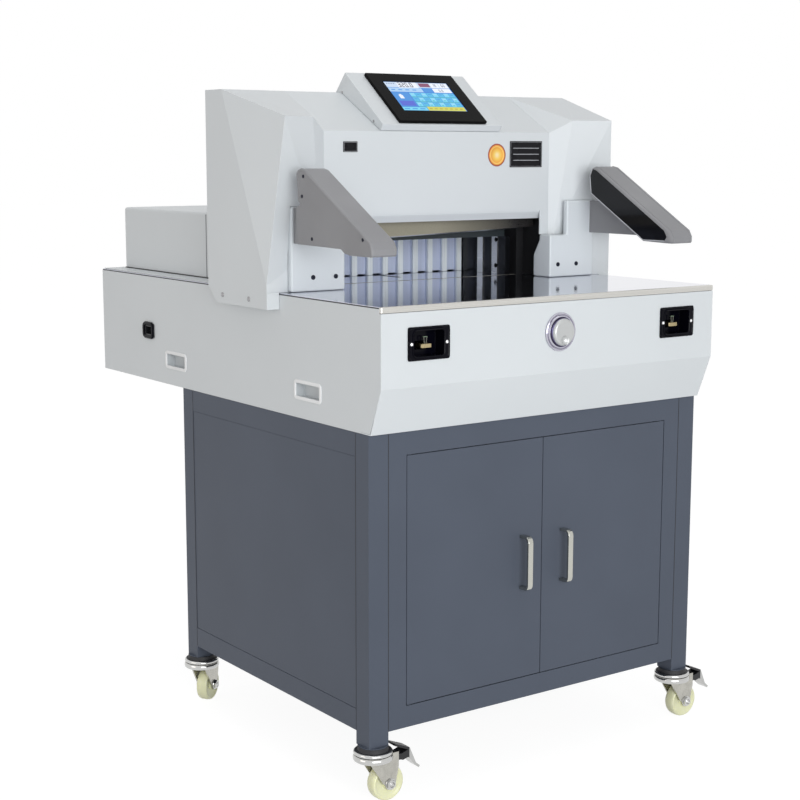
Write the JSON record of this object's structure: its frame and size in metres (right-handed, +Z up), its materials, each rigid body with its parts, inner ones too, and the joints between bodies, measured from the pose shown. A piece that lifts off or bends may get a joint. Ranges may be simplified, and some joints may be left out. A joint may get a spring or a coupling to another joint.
{
  "type": "programmable paper cutter",
  "caption": "Floor-standing programmable guillotine paper cutter on a castered two-door cabinet, with touch console, light-curtain arms, comb back gauge, clamp and swing knife",
  "frame": {"origin": "bottom centre of the bounding box: on the floor, midway between the widest and deepest reaches; the right brake pedal is the widest reach, so the machine's mirror plane lies 23.25 mm to -X", "axes": "+Z up, +X to the right of someone facing the front, -Y out of the front face; rest pose has the doors shut, the knife and clamp up and the gauge 153 mm behind the cut line"},
  "size_m": [0.9126, 1.126, 1.3401],
  "materials": {
    "housing_white": "fine-textured light grey powder coat",
    "bracket_white": "smooth light grey enamel",
    "cabinet_grey": "fine-textured blue-grey powder coat",
    "arm_grey": "mid grey textured moulding",
    "gloss_black": "polished black acrylic",
    "well_black": "semi-gloss black moulding",
    "chrome": "bright chrome plate",
    "satin_aluminium": "satin turned",
    "stainless": "brushed stainless",
    "table_steel": "dark polished plate",
    "gauge_alloy": "blue-grey anodised",
    "beam_steel": "beige enamel",
    "blade_steel": "ground",
    "clamp_grey": "painted teal-grey",
    "cast_grey": "dark grey paint",
    "zinc": "zinc plated",
    "wheel_cream": "cream nylon",
    "brake_black": "black zinc",
    "motor_black": "black painted casting",
    "button_brass": "aged brass cap",
    "stick_cream": "cream polymer"
  },
  "bodies": {
    "machine": {"stand_frame": "cabinet_grey", "stand_left_panel": "cabinet_grey", "stand_right_panel": "cabinet_grey", "stand_rear_panel": "cabinet_grey", "stand_floor": "cabinet_grey", "deck_front_panel": "housing_white", "deck_left_side": "housing_white", "deck_right_side": "housing_white", "deck_rear_panel": "housing_white", "deck_base_plate": "zinc", "table_plate": "table_steel", "table_nosing": "stainless", "cutting_stick": "stick_cream", "left_upright_cover": "housing_white", "right_upright_cover": "housing_white", "head_cover": "housing_white", "console_housing": "housing_white", "touch_panel": "gloss_black", "rear_hood": "housing_white", "left_bracket_block": "bracket_white", "right_bracket_block": "bracket_white", "left_arm_housing": "arm_grey", "right_arm_housing": "arm_grey", "left_arm_window": "gloss_black", "right_arm_window": "gloss_black", "left_side_frame": "cast_grey", "right_side_frame": "cast_grey", "gauge_motor": "motor_black", "left_side_gauge": "stainless", "right_side_gauge": "stainless", "left_button_well": "well_black", "right_button_well": "well_black", "jog_ring": "chrome", "power_inlet": "well_black", "knife_cylinder": "cast_grey", "clamp_cylinder": "cast_grey", "pump_unit": "motor_black"},
    "left_door": {"left_door": "cabinet_grey", "left_door_handle": "chrome"},
    "right_door": {"right_door": "cabinet_grey", "right_door_handle": "chrome"},
    "front_left_caster": {"front_left_caster_fork": "zinc"},
    "front_left_wheel": {"front_left_caster_wheel": "wheel_cream"},
    "front_right_caster": {"front_right_caster_fork": "zinc"},
    "front_right_wheel": {"front_right_caster_wheel": "wheel_cream"},
    "rear_left_caster": {"rear_left_caster_fork": "zinc"},
    "rear_left_wheel": {"rear_left_caster_wheel": "wheel_cream"},
    "rear_right_caster": {"rear_right_caster_fork": "zinc"},
    "rear_right_wheel": {"rear_right_caster_wheel": "wheel_cream"},
    "front_left_brake": {"front_left_brake_pedal": "brake_black"},
    "front_right_brake": {"front_right_brake_pedal": "brake_black"},
    "knife_carriage": {"knife_slide_block": "zinc"},
    "knife": {"knife_beam": "beam_steel", "knife_blade": "blade_steel"},
    "clamp": {"clamp_beam": "clamp_grey"},
    "back_gauge": {"back_gauge": "gauge_alloy"},
    "lead_screw": {"lead_screw": "stainless"},
    "left_button": {"left_cut_button": "button_brass"},
    "right_button": {"right_cut_button": "button_brass"},
    "jog": {"jog_knob": "satin_aluminium"}
  },
  "joints": [
    {"name": "left_door_hinge", "type": "hinge", "parent": "machine", "child": "left_door", "pos_m": [-0.33525, -0.50105, 0.412], "axis": [0, 0, -1], "range_deg": [0, 110]},
    {"name": "right_door_hinge", "type": "hinge", "parent": "machine", "child": "right_door", "pos_m": [0.28875, -0.50105, 0.412], "axis": [0, 0, 1], "range_deg": [0, 110]},
    {"name": "knife_slide", "type": "slide", "parent": "machine", "child": "knife_carriage", "axis": [0, 0, -1], "range_m": [0, 0.0834]},
    {"name": "knife_swing", "type": "hinge", "parent": "knife_carriage", "child": "knife", "pos_m": [-0.29425, -0.11555, 1.0355], "axis": [0, 1, 0], "range_deg": [0, 1.65]},
    {"name": "clamp_slide", "type": "slide", "parent": "machine", "child": "clamp", "axis": [0, 0, -1], "range_m": [0, 0.0831]},
    {"name": "gauge_slide", "type": "slide", "parent": "machine", "child": "back_gauge", "axis": [0, 1, 0], "range_m": [-0.129, 0.365]},
    {"name": "lead_screw_spin", "type": "hinge", "parent": "machine", "child": "lead_screw", "pos_m": [-0.02325, -0.07755, 0.8755], "axis": [0, 1, 0], "range_deg": [-4650, 13150]},
    {"name": "left_button_press", "type": "slide", "parent": "machine", "child": "left_button", "axis": [0, 1, 0], "range_m": [0, 0.004], "stiffness_N_per_m": 600, "springref_m": -0.002},
    {"name": "right_button_press", "type": "slide", "parent": "machine", "child": "right_button", "axis": [0, 1, 0], "range_m": [0, 0.004], "stiffness_N_per_m": 600, "springref_m": -0.002},
    {"name": "jog_turn", "type": "hinge", "parent": "machine", "child": "jog", "pos_m": [-0.02325, -0.54755, 0.8512], "axis": [0, -1, 0], "continuous": true},
    {"name": "front_left_swivel", "type": "hinge", "parent": "machine", "child": "front_left_caster", "pos_m": [-0.40575, -0.48675, 0.09], "axis": [0, 0, 1], "continuous": true},
    {"name": "front_left_roll", "type": "hinge", "parent": "front_left_caster", "child": "front_left_wheel", "pos_m": [-0.37875, -0.48675, 0.0345], "axis": [0, 1, 0], "continuous": true},
    {"name": "front_right_swivel", "type": "hinge", "parent": "machine", "child": "front_right_caster", "pos_m": [0.35925, -0.48675, 0.09], "axis": [0, 0, 1], "continuous": true},
    {"name": "front_right_roll", "type": "hinge", "parent": "front_right_caster", "child": "front_right_wheel", "pos_m": [0.38625, -0.48675, 0.0345], "axis": [0, 1, 0], "continuous": true},
    {"name": "rear_left_swivel", "type": "hinge", "parent": "machine", "child": "rear_left_caster", "pos_m": [-0.40575, 0.16535, 0.09], "axis": [0, 0, 1], "continuous": true},
    {"name": "rear_left_roll", "type": "hinge", "parent": "rear_left_caster", "child": "rear_left_wheel", "pos_m": [-0.38391, 0.18122, 0.0345], "axis": [-0.5878, 0.809, 0], "continuous": true},
    {"name": "rear_right_swivel", "type": "hinge", "parent": "machine", "child": "rear_right_caster", "pos_m": [0.35925, 0.16535, 0.09], "axis": [0, 0, 1], "continuous": true},
    {"name": "rear_right_roll", "type": "hinge", "parent": "rear_right_caster", "child": "rear_right_wheel", "pos_m": [0.38263, 0.15185, 0.0345], "axis": [0.5, 0.866, 0], "continuous": true},
    {"name": "front_left_brake_press", "type": "hinge", "parent": "front_left_caster", "child": "front_left_brake", "pos_m": [-0.35405, -0.48675, 0.08], "axis": [0, 1, 0], "range_deg": [0, 12]},
    {"name": "front_right_brake_press", "type": "hinge", "parent": "front_right_caster", "child": "front_right_brake", "pos_m": [0.41095, -0.48675, 0.08], "axis": [0, 1, 0], "range_deg": [0, 12]}
  ],
  "couplings": [
    {"joint": "knife_swing", "follows": "knife_slide", "rad_per_m": 0.345},
    {"joint": "lead_screw_spin", "follows": "gauge_slide", "rad_per_m": 628.3}
  ]
}
